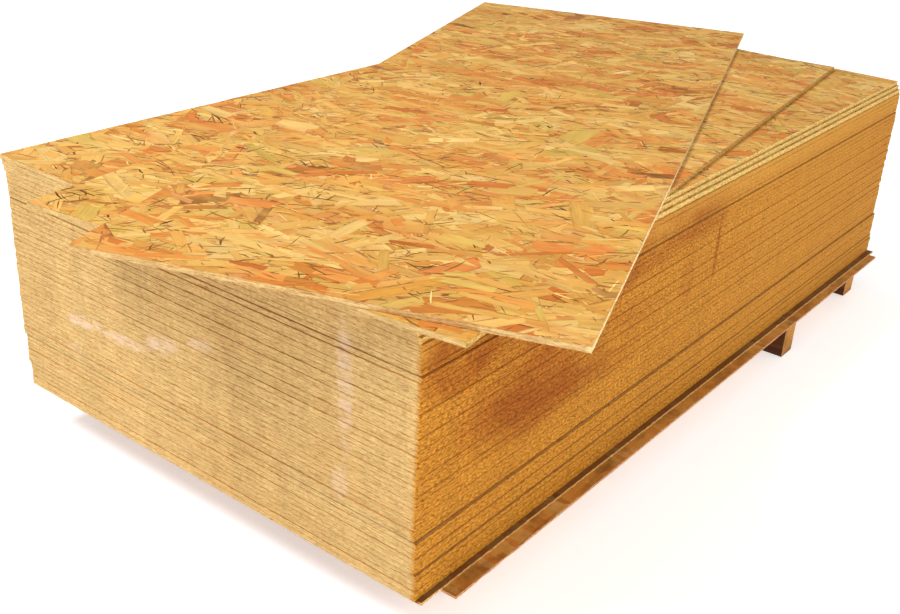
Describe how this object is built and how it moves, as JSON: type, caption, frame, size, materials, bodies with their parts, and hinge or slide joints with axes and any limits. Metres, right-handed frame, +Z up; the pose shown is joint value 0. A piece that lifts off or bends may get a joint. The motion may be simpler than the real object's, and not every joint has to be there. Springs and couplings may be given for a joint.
{
  "type": "stack of osb panels",
  "caption": "Stack of oriented strand boards on timber bearers: an aligned block on two base boards, a stepped top and two loose boards turned across it.",
  "frame": {"origin": "centre of the aligned block's footprint, on the floor the bearers stand on", "axes": "+Z up, +Y along the boards' length, +X across their width"},
  "size_m": [1.815, 2.8236, 0.725],
  "materials": {
    "osb": "raw pressed strands, sawn edges",
    "top_osb": "raw pressed strands, golden yellow to orange",
    "base_osb": "raw pressed strands, shaded and dusty",
    "weathered_osb": "raw pressed strands, weathered brown",
    "bearer_timber": "rough-sawn timber"
  },
  "bodies": {
    "root": {"bearer_1": "bearer_timber", "bearer_2": "bearer_timber", "bearer_3": "bearer_timber", "bearer_4": "bearer_timber", "bearer_5": "bearer_timber", "bottom_board": "weathered_osb", "carrier_board": "base_osb", "block_board_1": "osb", "block_board_2": "osb", "block_board_3": "osb", "block_board_4": "osb", "block_board_5": "osb", "block_board_6": "osb", "block_board_7": "osb", "block_board_8": "osb", "block_board_9": "osb", "block_board_10": "osb", "block_board_11": "osb", "block_board_12": "osb", "block_board_13": "osb", "block_board_14": "osb", "block_board_15": "osb", "block_board_16": "osb", "block_board_17": "osb", "block_board_18": "osb", "block_board_19": "osb", "block_board_20": "osb", "block_board_21": "osb", "block_board_22": "osb", "block_board_23": "osb", "block_board_24": "osb", "block_board_25": "osb", "block_board_26": "osb", "block_board_27": "osb", "block_board_28": "osb", "block_board_29": "osb", "block_board_30": "osb", "block_board_31": "osb", "block_board_32": "osb", "block_board_33": "osb", "block_board_34": "osb", "block_board_35": "osb", "block_board_36": "osb", "block_board_37": "osb", "block_board_38": "osb", "block_board_39": "osb", "block_board_40": "osb", "block_board_41": "osb", "block_board_42": "osb", "block_board_43": "osb", "block_board_44": "osb", "stepped_board_1": "top_osb", "stepped_board_2": "top_osb", "stepped_board_3": "top_osb", "lower_loose_board": "top_osb", "upper_loose_board": "top_osb"}
  },
  "joints": []
}
